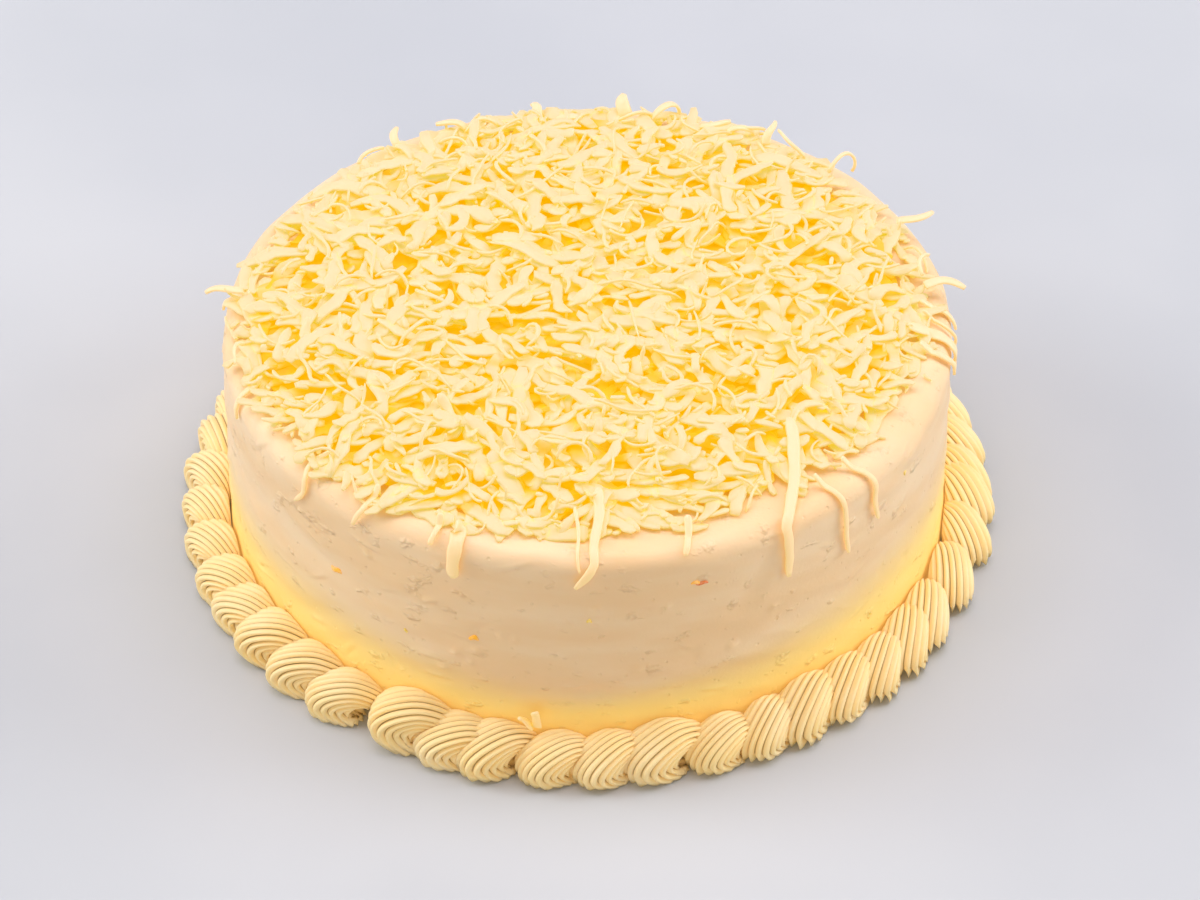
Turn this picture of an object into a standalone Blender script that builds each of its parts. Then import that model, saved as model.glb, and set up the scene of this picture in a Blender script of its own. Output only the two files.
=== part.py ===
"""A round custard cake: a frosted drum, a rope of piped loops round its foot, and grated cheese on its top.

Metres, +Z up. The origin is the centre of the flat underside, and the front of the cake faces -Y.
"""

import math

import bmesh
import bpy
import numpy as np

# Driving sizes
CAKE_RADIUS = 0.1158
CAKE_HEIGHT = 0.0822
RIM_FILLET = 0.006
FOOT_CHAMFER = 0.0015
BORDER_RADIUS = 0.1325
BORDER_HEIGHT = 0.0155
LOOP_COUNT = 47
HEAP_RADIUS = 0.1065
HEAP_CORE_HEIGHT = 0.0052
CORE_INSET = 0.008
SHRED_COUNT = 104
SHRED_THICKNESS = 0.0012
GAP = 0.0003

# How finely the faceted solids are cut
DRUM_SEGMENTS = 60
FILLET_STEPS = 3
STROKE_STEPS = 5
TEETH = 5
CORE_SEGMENTS = 28
CORE_RINGS = 5
SHRED_STEPS = 4

# The drum's slow waves: how many round the drum, height of the wave, and where its crest stands
WALL_WAVES = ((2, 0.0005, 0.4), (3, 0.0004, 2.1), (5, 0.0003, 4.0))

# The rope's one full swirl, and how much bigger than its neighbours it is
SWIRL_ANGLE = math.radians(-116.4)
SWIRL_SCALE = 1.2

# Turns in degrees from loop to loop on the side that is seen: on from the swirl, and back from it
TURNS_ON = (7.8, 6.0, 9.0, 7.7, 8.1, 8.9, 7.3, 7.2, 7.2, 7.2, 7.0, 6.2, 9.6, 9.7, 8.3, 4.8, 7.3)
TURNS_BACK = (11.2, 8.2, 8.1, 7.5, 7.0, 8.3, 8.2, 8.0, 7.7, 7.3)

# How uneven the loops are: share of their size, and degrees of the lean from the ring towards the wall
SIZE_SPREAD = 0.05
MEAN_LEAN = 32
LEAN_SPREAD = 7

# A loop's form: shares of its height for the pivot, half the width and the inset from the rope's outside,
# shares of the height over the pivot for the strand's arc and half its thickness, how far the strand turns,
# the travel before the turn, the share that it narrows by and the depth of a tooth
PIVOT_SHARE = 0.20
HALF_WIDE_SHARE = 0.50
INSET_SHARE = 0.10
ARC_SHARE = 0.52
HALF_THICK_SHARE = 0.48
STRAND_TURN = math.radians(150)
RISE_TRAVEL = 0.25
NARROWING = 0.35
TOOTH_DEPTH = 0.10

# The ring of cream under the loops: shares of a loop's height for its top and inset, and its outer slope
RING_TOP_SHARE = 0.6
RING_INSET_SHARE = 0.3
RING_SLOPE = 0.003

# The heap's outline: where it is widest, and how far it leaves a circle once and twice round
HEAP_WIDEST = math.radians(200)
HEAP_SHIFT = 0.0035
HEAP_STRETCH = 0.004

# Ranges for a lying shred: length, width, bend in plan as radians a metre, rise of its ends, tilt and lean
GOLDEN_TURN = math.radians(137.508)
SHRED_LENGTHS = (0.018, 0.036)
SHRED_WIDTHS = (0.0028, 0.0048)
SHRED_CURLS = (-30, 30)
SHRED_ARCHES = (-0.0010, 0.0036)
SHRED_TILTS = (-0.14, 0.14)
SHRED_LEANS = (-0.2, 0.2)
SHRED_NARROWING = 0.45

# A hanging shred from its start to its tip: share of the sideways drift and of the width at each point
HANGING_DRIFT = (-1.0, -0.4, -0.1, 0.1, 0.3, 1.0)
HANGING_WIDTHS = (1.0, 1.0, 0.95, 0.85, 0.75, 0.4)
HANGING_START = 0.008
HANGING_RISE = 0.0020
STAND_OFF = 0.0012

# Shreds that hang over the rim: angle in degrees, height of the tip, width, degrees that the tip lies aside
HANGING_SHREDS = (
    (-92.0, 0.0715, 0.0036, 1.6),
    (-87.5, 0.0735, 0.0030, -1.2),
    (-58.0, 0.0615, 0.0034, 0.3),
    (-47.0, 0.0590, 0.0026, -0.6),
    (-40.0, 0.0640, 0.0026, 0.5),
    (-110.0, 0.0700, 0.0040, 0.8),
    (-140.0, 0.0705, 0.0028, -2.0),
    (-166.0, 0.0725, 0.0030, 2.5),
    (176.0, 0.0730, 0.0034, -3.0),
    (-9.0, 0.0715, 0.0032, 2.0),
    (2.0, 0.0735, 0.0028, -2.0),
)


def clear_scene():
    for old in list(bpy.data.objects):
        bpy.data.objects.remove(old, do_unlink=True)


def new_collection(name):
    collection = bpy.data.collections.new(name)
    bpy.context.scene.collection.children.link(collection)
    return collection


def material(name, colour, roughness):
    made = bpy.data.materials.new(name)
    made.use_nodes = True
    shader = made.node_tree.nodes["Principled BSDF"]
    shader.inputs["Base Color"].default_value = (*colour, 1.0)
    shader.inputs["Roughness"].default_value = roughness
    shader.inputs["Metallic"].default_value = 0.0
    made.diffuse_color = (*colour, 1.0)
    return made


def mesh_object(name, vertices, faces, collection):
    mesh = bpy.data.meshes.new(name)
    mesh.from_pydata(vertices.tolist(), [], faces)
    mesh.validate()
    made = bpy.data.objects.new(name, mesh)
    collection.objects.link(made)
    return made


def applied(obj):
    """Gives the object the mesh that its modifiers make, and removes them."""
    graph = bpy.context.evaluated_depsgraph_get()
    mesh = bpy.data.meshes.new_from_object(obj.evaluated_get(graph))
    obj.modifiers.clear()
    obj.data = mesh
    return obj


def turned(name, profile, segments, collection, closed=False):
    """A profile of (radius, height) points, turned once round Z by a Screw modifier."""
    vertices = np.array([(radius, 0.0, height) for radius, height in profile])
    count = len(profile)
    edges = [(i, i + 1) for i in range(count - 1)]
    if closed:
        edges.append((count - 1, 0))
    mesh = bpy.data.meshes.new(name)
    mesh.from_pydata(vertices.tolist(), edges, [])
    made = bpy.data.objects.new(name, mesh)
    collection.objects.link(made)
    screw = made.modifiers.new("turn", "SCREW")
    screw.steps = segments
    screw.render_steps = segments
    screw.use_merge_vertices = True
    screw.merge_threshold = 1e-5
    return applied(made)


def reshape(obj, change):
    """Moves the mesh's points by a function of their whole array."""
    count = len(obj.data.vertices)
    flat = np.empty(count * 3)
    obj.data.vertices.foreach_get("co", flat)
    moved = change(flat.reshape(count, 3))
    obj.data.vertices.foreach_set("co", moved.ravel())
    obj.data.update()


def triangulate(obj):
    """Cuts the mesh's faces into triangles, so that a bent four-sided face has one certain shape."""
    sheet = bmesh.new()
    sheet.from_mesh(obj.data)
    bmesh.ops.triangulate(sheet, faces=sheet.faces[:])
    sheet.to_mesh(obj.data)
    sheet.free()


def fuse(name, collection, first):
    """One solid from every object of a collection, by a Boolean union into the first of them."""
    for piece in collection.objects:
        triangulate(piece)
    collection.objects.unlink(first)
    bpy.context.scene.collection.objects.link(first)
    union = first.modifiers.new("fuse", "BOOLEAN")
    union.operation = "UNION"
    union.operand_type = "COLLECTION"
    union.collection = collection
    union.solver = "EXACT"
    applied(first)
    for used in list(collection.objects):
        bpy.data.objects.remove(used, do_unlink=True)
    bpy.data.collections.remove(collection)
    first.name = name
    first.data.name = name
    return first


def loft(name, rings, collection):
    """A closed solid from rings of points, given as an array of ring, point and coordinate."""
    count, sides = rings.shape[:2]
    faces = []
    for ring in range(count - 1):
        for side in range(sides):
            after = (side + 1) % sides
            low = ring * sides
            high = low + sides
            faces.append((low + side, low + after, high + after, high + side))
    faces.append(tuple(reversed(range(sides))))
    faces.append(tuple(range((count - 1) * sides, count * sides)))
    return mesh_object(name, rings.reshape(-1, 3), faces, collection)


def wall_wave(angle):
    """How far the drum's wall stands out from its mean radius at an angle."""
    return sum(size * np.cos(times * angle - crest) for times, size, crest in WALL_WAVES)


def bend(along, out, height, angle):
    """Carries flat places (along the ring, out from the centre, up) round the drum from an angle."""
    turned_by = angle + along / CAKE_RADIUS
    radius = out + wall_wave(turned_by)
    return np.stack([radius * np.cos(turned_by), radius * np.sin(turned_by), height], axis=-1)


def kept_above(value, floor, softness):
    """A value eased so that it never falls to a floor: the mean of a straight line and a hyperbola."""
    over = value - floor
    return floor + (over + np.sqrt(over**2 + softness**2)) / 2


def cake_drum(collection):
    """The frosted drum: a turned profile with a round rim, eased by the slow waves of its wall."""
    bend_centre = (CAKE_RADIUS - RIM_FILLET, CAKE_HEIGHT - RIM_FILLET)
    turns = np.linspace(math.pi / 2, 0.0, FILLET_STEPS + 1)
    rim = [
        (bend_centre[0] + RIM_FILLET * math.cos(turn), bend_centre[1] + RIM_FILLET * math.sin(turn))
        for turn in turns
    ]
    top = [(0.0, CAKE_HEIGHT), (CAKE_RADIUS * 0.7, CAKE_HEIGHT)]
    wall = [(CAKE_RADIUS, CAKE_HEIGHT * 0.55), (CAKE_RADIUS, FOOT_CHAMFER)]
    foot = [(CAKE_RADIUS - FOOT_CHAMFER, 0.0), (0.0, 0.0)]
    drum = turned("cake", top + rim + wall + foot, DRUM_SEGMENTS, collection)

    def ease(points):
        radius = np.hypot(points[:, 0], points[:, 1])
        angle = np.arctan2(points[:, 1], points[:, 0])
        share = radius / CAKE_RADIUS
        grown = radius + wall_wave(angle) * share**4
        scale = np.where(radius > 0, grown / np.maximum(radius, 1e-9), 1.0)
        return points * np.stack([scale, scale, np.ones_like(scale)], axis=1)

    reshape(drum, ease)
    return drum


def stroke(name, angle, size, lean, collection):
    """One piped loop: a toothed strand that rises from the ground, arches over and dives towards the wall.

    The strand's middle follows a quarter turn and a bit round a point low inside the loop, in an upright
    plane turned from the ring towards the wall by lean. Its section is an oval with a wave for the teeth.
    """
    tall = BORDER_HEIGHT * size
    pivot_height = tall * PIVOT_SHARE
    arc = (tall - pivot_height) * ARC_SHARE
    half_thick = (tall - pivot_height) * HALF_THICK_SHARE
    half_wide = tall * HALF_WIDE_SHARE
    pivot_out = BORDER_RADIUS - half_wide * math.cos(lean) - arc * math.sin(lean) - tall * INSET_SHARE
    travel = np.linspace(-RISE_TRAVEL, 1.0, STROKE_STEPS)
    turn = np.maximum(travel, 0.0) * STRAND_TURN
    sink = np.minimum(travel, 0.0) * pivot_height / RISE_TRAVEL
    taper = 1.0 - NARROWING * np.maximum(travel, 0.0) ** 2
    around = np.linspace(0.0, 2 * math.pi, 2 * TEETH, endpoint=False)
    tooth = 1.0 + TOOTH_DEPTH * np.where(np.arange(2 * TEETH) % 2 == 0, 1.0, -1.0)
    outward = half_thick * np.outer(taper, tooth * np.cos(around))
    across = half_wide * np.outer(taper, tooth * np.sin(around))
    reach = arc + outward
    forward = -np.cos(turn)[:, None] * reach
    height = pivot_height + sink[:, None] + np.sin(turn)[:, None] * reach
    along = forward * math.cos(lean) + across * math.sin(lean)
    out = pivot_out - forward * math.sin(lean) + across * math.cos(lean)
    out = kept_above(out, CAKE_RADIUS + GAP, 0.0012)
    height = kept_above(height, 0.0002, 0.0008)
    return loft(name, bend(along, out, height, angle), collection)


def loop_angles():
    """Angle of each loop: the swirl, those seen on from it, even ones behind, and those seen before it."""
    on = np.cumsum(TURNS_ON)
    back = -np.cumsum(TURNS_BACK)
    unseen_turns = LOOP_COUNT - len(on) - len(back)
    behind = np.linspace(on[-1], 360.0 + back[-1], unseen_turns + 1)[1:-1]
    return SWIRL_ANGLE + np.radians(np.concatenate([[0.0], on, behind, back[::-1]]))


def piped_border(collection):
    """The rope of loops round the drum's foot, fused over a low turned ring that rests on the ground."""
    strokes = new_collection("strokes")
    inner = CAKE_RADIUS + 2 * GAP
    outer = BORDER_RADIUS - BORDER_HEIGHT * RING_INSET_SHARE
    top = BORDER_HEIGHT * RING_TOP_SHARE
    profile = [(inner, top), (outer - RING_SLOPE, top), (outer, 0.0), (inner, 0.0)]
    core = turned("core", profile, LOOP_COUNT, strokes, closed=True)

    def ease(points):
        angle = np.arctan2(points[:, 1], points[:, 0])
        radius = np.hypot(points[:, 0], points[:, 1]) + wall_wave(angle)
        return np.stack([radius * np.cos(angle), radius * np.sin(angle), points[:, 2]], axis=1)

    reshape(core, ease)
    draws = np.random.default_rng(11)
    sizes = 1.0 + draws.uniform(-SIZE_SPREAD, SIZE_SPREAD, LOOP_COUNT)
    sizes[0] = SWIRL_SCALE
    leans = np.radians(MEAN_LEAN + draws.uniform(-LEAN_SPREAD, LEAN_SPREAD, LOOP_COUNT))
    for number, angle in enumerate(loop_angles()):
        stroke(f"stroke_{number}", angle, sizes[number], leans[number], strokes)
    return fuse("piped_border", strokes, core)


def heap_edge(angle):
    """The heap's outline: widest at the cake's left, and short of the rim at its front right."""
    away = angle - HEAP_WIDEST
    return HEAP_RADIUS + HEAP_SHIFT * np.cos(away) + HEAP_STRETCH * np.cos(2 * away)


def heap_top(points):
    """How high the core stands over the icing: bumps the size of a shred, sloping down near the outline."""
    x, y = points[:, 0], points[:, 1]
    share = np.hypot(x, y) / (heap_edge(np.arctan2(y, x)) - CORE_INSET)
    slope = 1.0 - 0.5 * np.clip((share - 0.75) / 0.25, 0.0, 1.4)
    bumps = np.sin(150 * x + 1.3) * np.cos(130 * y) + 0.6 * np.sin(100 * (x + y)) * np.cos(110 * (x - y))
    return (HEAP_CORE_HEIGHT + 0.0005 * bumps) * slope


def heap_core(collection):
    """The heap's middle, a low disc whose top is a bumpy sheet and whose edge follows the outline."""
    shares = np.linspace(0.0, 1.0, CORE_RINGS)
    profile = [(share, 1.0) for share in shares] + [(0.97, 0.0), (0.0, 0.0)]
    core = turned("heap", profile, CORE_SEGMENTS, collection)

    def ease(points):
        share = np.hypot(points[:, 0], points[:, 1])
        angle = np.arctan2(points[:, 1], points[:, 0])
        radius = share * (heap_edge(angle) - CORE_INSET)
        placed = np.stack([radius * np.cos(angle), radius * np.sin(angle)], axis=1)
        height = CAKE_HEIGHT + GAP + points[:, 2] * heap_top(placed)
        return np.column_stack([placed, height])

    reshape(core, ease)
    return core


def strip(name, spine, side, thick, collection):
    """A flat shred: a rectangle carried along a spine, with side the half width as a vector at each point."""
    along = np.gradient(spine, axis=0)
    normal = np.cross(side, along)
    normal /= np.linalg.norm(normal, axis=1, keepdims=True)
    half = normal * thick / 2
    corners = (spine - side - half, spine - side + half, spine + side + half, spine + side - half)
    return loft(name, np.stack(corners, axis=1), collection)


def lying_shred(number, draws, collection):
    """A shred on the heap: an arched ribbon, bent in plan, whose middle lies by a sunflower's rule."""
    share = math.sqrt((number + 0.5) / SHRED_COUNT)
    angle = number * GOLDEN_TURN
    reach = share * (heap_edge(angle) - CORE_INSET - 0.002)
    middle = np.array([reach * math.cos(angle), reach * math.sin(angle)])
    length = draws.uniform(*SHRED_LENGTHS)
    width = draws.uniform(*SHRED_WIDTHS)
    heading = draws.uniform(0, 2 * math.pi)
    curl = draws.uniform(*SHRED_CURLS)
    arch = draws.uniform(*SHRED_ARCHES)
    tilt = draws.uniform(*SHRED_TILTS)
    walk = np.linspace(-0.5, 0.5, SHRED_STEPS + 1) * length
    turn = heading + curl * walk
    step = np.diff(walk, prepend=walk[0])
    x = middle[0] + np.cumsum(np.cos(turn) * step) - 0.5 * length * math.cos(heading)
    y = middle[1] + np.cumsum(np.sin(turn) * step) - 0.5 * length * math.sin(heading)
    edge = heap_edge(np.arctan2(y, x)) + 0.003
    pull = np.minimum(1.0, edge / np.maximum(np.hypot(x, y), 1e-6))
    plan = np.column_stack([x * pull, y * pull])
    rest = heap_top(plan[None, SHRED_STEPS // 2])[0] - SHRED_THICKNESS / 4
    height = rest + arch * (2 * walk / length) ** 2 + tilt * walk
    height = kept_above(height, GAP + SHRED_THICKNESS, 0.0006)
    spine = np.column_stack([plan, CAKE_HEIGHT + height])
    end_share = 1.0 - SHRED_NARROWING * np.abs(2 * walk / length) ** 3
    side = np.column_stack([-np.sin(turn), np.cos(turn), np.full_like(turn, draws.uniform(*SHRED_LEANS))])
    side *= (width / 2 * end_share)[:, None]
    return strip(f"shred_{number}", spine, side, SHRED_THICKNESS, collection)


def hanging_shred(number, place, collection):
    """A shred that runs out over the icing, bends over the rim and hangs a little clear of the wall."""
    degrees, tip, width, aside = place
    angle = math.radians(degrees)
    start = float(heap_edge(angle)) - CORE_INSET - HANGING_START
    bend_centre = (CAKE_RADIUS - RIM_FILLET, CAKE_HEIGHT - RIM_FILLET)
    over = RIM_FILLET + STAND_OFF
    turns = np.linspace(math.pi / 2, 0.0, 4)
    out = np.concatenate([[start], bend_centre[0] + over * np.cos(turns), [CAKE_RADIUS + STAND_OFF]])
    up = np.concatenate([[CAKE_HEIGHT + HANGING_RISE], bend_centre[1] + over * np.sin(turns), [tip]])
    drift = np.array(HANGING_DRIFT) * math.radians(aside) * CAKE_RADIUS
    spine = bend(drift, out, up, angle)
    across = np.array([-math.sin(angle), math.cos(angle), 0.0])
    side = across[None, :] * (width / 2 * np.array(HANGING_WIDTHS))[:, None]
    return strip(f"hanging_{number}", spine, side, SHRED_THICKNESS, collection)


def grated_cheese(collection):
    """The heap of grated cheese: a low bumpy core with the longest shreds fused on."""
    pieces = new_collection("shreds")
    core = heap_core(pieces)
    draws = np.random.default_rng(5)
    for number in range(SHRED_COUNT):
        lying_shred(number, draws, pieces)
    for number, place in enumerate(HANGING_SHREDS):
        hanging_shred(number, place, pieces)
    return fuse("grated_cheese", pieces, core)


def dress(obj, colour, roughness, collection):
    """Gives a finished solid its material and its place in the cake's collection."""
    for holder in list(obj.users_collection):
        holder.objects.unlink(obj)
    collection.objects.link(obj)
    obj.data.materials.clear()
    obj.data.materials.append(material(obj.name, colour, roughness))
    obj.data.shade_smooth()
    obj.data.set_sharp_from_angle(angle=math.radians(35))


def main():
    clear_scene()
    cake = new_collection("custard_cake")
    dress(cake_drum(cake), (0.93, 0.78, 0.55), 0.55, cake)
    dress(piped_border(cake), (0.95, 0.78, 0.47), 0.5, cake)
    dress(grated_cheese(cake), (0.97, 0.80, 0.36), 0.45, cake)


main()
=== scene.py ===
"""The looks of a round custard cake: smooth frosting, a piped rope of loops and a heap of grated cheese.

Metres, +Z up. The cake stands on Z = 0 round the Z axis, and its front faces -Y. Every new piece is made of
rings of points worked out with numpy, carried round the cake or along a path and closed at both ends.
"""

import collections
import math

import bpy
import numpy as np
from mathutils import Matrix, Vector


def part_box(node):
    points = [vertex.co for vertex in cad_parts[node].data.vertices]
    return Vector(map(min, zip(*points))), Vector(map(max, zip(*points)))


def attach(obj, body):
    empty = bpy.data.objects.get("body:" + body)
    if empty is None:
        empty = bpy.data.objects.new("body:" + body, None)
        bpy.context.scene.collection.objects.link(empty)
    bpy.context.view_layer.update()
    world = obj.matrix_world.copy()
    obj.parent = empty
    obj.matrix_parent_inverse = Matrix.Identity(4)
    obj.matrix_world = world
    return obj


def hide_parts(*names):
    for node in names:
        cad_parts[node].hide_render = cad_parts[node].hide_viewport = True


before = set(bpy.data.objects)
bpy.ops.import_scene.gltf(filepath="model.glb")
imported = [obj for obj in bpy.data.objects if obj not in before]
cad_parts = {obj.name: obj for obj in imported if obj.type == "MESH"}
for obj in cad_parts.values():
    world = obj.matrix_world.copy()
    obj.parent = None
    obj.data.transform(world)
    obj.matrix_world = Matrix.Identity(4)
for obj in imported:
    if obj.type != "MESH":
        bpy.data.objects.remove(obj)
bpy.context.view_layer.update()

bl_info = {
    "name": "Custard Cake",
    "version": (1, 0, 0),
    "blender": (4, 5, 0),
    "location": "View3D > Sidebar > Cake",
    "description": "Builds a frosted round cake with a piped rope and grated cheese",
    "category": "Add Mesh",
}

CAKE_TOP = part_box("cake")[1].z

# Slow waves round the cake: how many go round, the height of each, and where its crest stands, in radians.
# The rim's are shares of its rounding, and its slump is how much rounder it is at the back
WALL_WAVES = ((2, 0.0005, 0.4), (3, 0.0004, 2.1), (5, 0.0003, 4.0))
RIM_WAVES = ((3, 0.135, -1.0), (7, 0.105, -2.2), (12, 0.075, -0.5))
RIM_SLUMP = 0.85

# The chamfer at the foot of the wall, the gap between the wall and the rope, and the range of a wave's start
FOOT_CHAMFER = 0.0015
GAP = 0.0003
ANY_START = (0, 6.28)

# How finely the frosting is drawn, and how much closer its columns stand in front
DRUM_COLUMNS = 640
FRONT_CROWDING = 0.35
UNDER_ROWS = 6
WALL_ROWS = 108
RIM_ROWS = 14
TOP_ROWS = 18

# Uneven sheets of frosting: height, number of cosines, times round the cake, and wavelengths upward
UnevenSheet = collections.namedtuple("UnevenSheet", "height cosines times wavelengths")
KNIFE_WAVES = UnevenSheet(0.00018, 26, (0, 5), (0.012, 0.040))
SMALL_WAVES = UnevenSheet(0.00010, 30, (5, 40), (0.006, 0.022))

# A patch of frosting: its angle, its way up the wall, half its length and width, and its slant, in radians
Patch = collections.namedtuple("Patch", "angle path half_length half_width slant")
RIM_TROUGH = Patch(math.radians(-62.0), 0.067, 0.017, 0.0042, math.radians(58))
RIM_TROUGH_DEPTH = 0.0009
TROUGH_RIDGE = Patch(math.radians(-59.0), 0.066, 0.014, 0.0024, math.radians(62))
TROUGH_RIDGE_HEIGHT = 0.0004

# Lumps and dents, and smears of a lip over a dent: how many, and the ranges that they are drawn from
MARKED_PATH = (0.018, 0.080)
LUMPS = 60
LUMP_HALF_LENGTHS = (0.0016, 0.0044)
LUMP_HALF_WIDTHS = (0.0009, 0.0020)
LUMP_SLANT_SPREAD = 0.6
LUMP_HEIGHTS = (-0.0006, 0.0005)
SMEARS = 70
SMEAR_HALF_LENGTHS = (0.0018, 0.0048)
SMEAR_SLANT = 0.1
SMEAR_SLANT_SPREAD = 0.5
SMEAR_HEIGHTS = (0.0003, 0.0008)
LIP_HALF_WIDTH = 0.0009
DENT_HALF_WIDTH = 0.0011
DENT_DROP = 0.0015
DENT_SHARE = 0.8
CRUMB_HEIGHT = 0.0008

# The band of painted golden bounce light low on the wall near the rope: its top in front and what the sides
# add, and the same for its fading
BOUNCE_BAND = (0.031, 0.020)
BOUNCE_FADE = (0.014, 0.017)

# The rope: its one full swirl, the turns in degrees from loop to loop, on from the swirl and back from it,
# how much the loops vary in size and in lean, which is in degrees, and how many belong to the front piece
SWIRL_ANGLE = math.radians(-116.4)
SWIRL_SCALE = 1.2
TURNS_ON = (7.8, 6.0, 9.0, 7.7, 8.1, 8.9, 7.3, 7.2, 7.2, 7.2, 7.0, 6.2, 9.6, 9.7, 8.3, 4.8, 7.3)
TURNS_BACK = (11.2, 8.2, 8.1, 7.5, 7.0, 8.3, 8.2, 8.0, 7.7, 7.3)
LOOP_SCALE = 1.03
LOOP_SCALE_SPREAD = 0.07
LOOP_LEAN = 32
LOOP_LEAN_SPREAD = 7
FRONT_LOOPS = 24

# A loop's strand: its pivot's share of the height, the turn of the strand about it, and how far its
# outermost and its innermost ridge swing down below it
PIVOT_SHARE = 0.34
SWIRL_PIVOT_SHARE = 0.44
STRAND_TURNS = (math.radians(158), math.radians(196))
SWIRL_TURN = math.radians(208)
LEAST_SWING = math.radians(27)
SWIRL_LEAST_SWING = math.radians(44)
MOST_SWINGS = (math.radians(118), math.radians(142))
SWIRL_SWING = math.radians(150)
INNER_SWING_POWER = 1.5

# Its size: arc and half thickness as shares of the height over the pivot, half width and inset of the whole
# height, how much its head and tail are stretched along the ring, and how far it is moved on along the ring
ARC_SHARE = 0.51
HALF_THICK_SHARE = 0.49
HALF_WIDE_SHARE = 0.46
INSET_SHARE = 0.10
NARROWING = 0.35
HEAD_STRETCH = 1.46
TAIL_STRETCH = 1.5
LOOP_SHIFT = 0.0012

# Its steps and ridges: how deep they are, how round their crests and how squared the whole section, how much
# teeth and roll vary, how deep the notches are at the ends, how fast the ridges fan out, and how softly the
# strand stops at its eye, at the wall and over the floor
FAN_STEPS = 8
STRAND_STEPS = 23
RIDGES = 20
POINTS_A_RIDGE = 6
RIDGE_DEPTH = 0.24
CREST_POWER = 0.6
MEAN_RIDGE = 0.6
SQUARENESS = 2.7
TOOTH_SPREAD = 0.35
ROLL_SPREAD = 0.2
TWIST_SPREAD = 0.3
NOTCH_DEPTH = 0.28
RAGGED_NOTCH = 0.30
RAGGED_END = 0.06
FAN_POWER = 1.5
EYE_EASE = 0.0004
WALL_EASE = 0.0012
FLOOR_EASE = 0.0006
LOWEST_CREAM = 0.0001

# The heap's outline: where it is widest, how far it is shifted and stretched that way, and how much further
# it reaches behind and at the right
HEAP_WIDEST = math.radians(200)
HEAP_SHIFT = 0.0035
HEAP_STRETCH = 0.004
HEAP_REACH = 0.0025

# The bed under the shreds: how far it stays inside the outline, its height, its bumps and its crumbs, where
# it starts to slope down, and the share that it slopes by, with what is added in front
BED_INSET = 0.008
BED_HEIGHT = 0.0046
BED_BUMPS = 0.0005
BED_CRUMBS = 0.0006
BED_SLOPE_START = 0.75
BED_SLOPE = 0.5
BED_SLOPE_IN_FRONT = 0.2
BED_COLUMNS = 300
BED_ROWS = 80

# The loose pile near its outline: the share of the radius that it falls off over, what that loses at the
# back, where it ends, the least share of its height that it keeps, and the power that rounds it
PILE_FALL = 0.26
PILE_FALL_BEHIND = 0.18
PILE_END = 1.04
PILE_LEAST = 0.05
PILE_ROUNDING = 0.6

# The loose shreds: the turn from one middle to the next, the jitter of the middles, how far an end may pass
# the outline, the sway of a heading, the roll, the ragged edge, how blunt the ends are, the skew, the palest
# tone, and how far they stay over what lies below, as a share of their thickness
GOLDEN_TURN = math.radians(137.508)
MIDDLE_JITTER = 0.004
TURN_JITTER = 0.05
EDGE_JITTER = (-0.003, 0.0055)
SWAY = 0.26
SWAY_RATES = (200, 520)
SHRED_ROLL = 0.28
RAGGED_EDGE = 0.20
RAGGED_RATES = (500, 1100)
BLUNT_POWERS = (8, 20)
BLUNT_SHARE = 0.45
MOST_SKEW = 0.5
PALEST_TONE = 0.35
LEAST_CLEARANCE = 0.6
LAYER_EASE = 0.0006

# Where the pile is open to the light, as a share of its outline, and over what share it opens
OPEN_START = 0.90
OPEN_WIDTH = 0.10

# Shreds that hang over the rim: radius and angle where they start on the top, angle where they cross the
# rim, angle and height of the tip, width, and sideways wave
HangingShred = collections.namedtuple(
    "HangingShred", "start_radius start_angle rim_angle tip_angle tip width wave"
)
HANGING_SHREDS = tuple(HangingShred(*row) for row in (
    (0.090, -87.6, -89.0, -91.6, 0.0732, 0.0036, 0.004),
    (0.097, -92.0, -91.2, -91.0, 0.0790, 0.0013, 0.004),
    (0.0855, -42.8, -58.0, -57.7, 0.0618, 0.0042, 0.0),
    (0.106, -48.6, -47.2, -46.2, 0.0590, 0.0022, 0.002),
    (0.106, -42.0, -40.6, -39.4, 0.0640, 0.0024, 0.006),
    (0.110, -111.0, -110.6, -110.2, 0.0710, 0.0054, 0.003),
    (0.106, -139.0, -139.2, -140.4, 0.0700, 0.0022, 0.016),
    (0.107, -127.0, -127.2, -128.0, 0.0760, 0.0024, 0.004),
    (0.108, -114.6, -114.4, -114.4, 0.0800, 0.0024, 0.004),
    (0.104, -73.0, -74.0, -74.6, 0.0812, 0.0026, 0.004),
    (0.108, -161.0, -160.8, -160.2, 0.0740, 0.0026, 0.006),
    (0.108, 176.0, 176.0, 174.0, 0.0750, 0.0030, 0.005),
    (0.106, -9.0, -8.8, -8.0, 0.0740, 0.0030, 0.005),
    (0.102, -5.0, -4.6, -5.4, 0.0690, 0.0052, 0.006),
    (0.106, -1.0, -1.4, -2.2, 0.0640, 0.0012, 0.012),
    (0.106, 2.0, 2.2, 1.2, 0.0765, 0.0026, 0.005),
))

# Their steps along the spine and round the rim, how far they stand off the frosting, how high they start and
# what that gains inside the heap, half their thickness, their ripple, their frayed edge and their narrowing
HANGING_STEPS = 30
RIM_STEPS = 9
STAND_OFF = 0.0013
START_HEIGHT = 0.0045
START_RISE = 0.2
HANGING_HALF_THICK = 0.00045
HANGING_RIPPLE = 0.0002
HANGING_FRAY = 0.05
HANGING_NARROWING = 0.30

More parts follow.
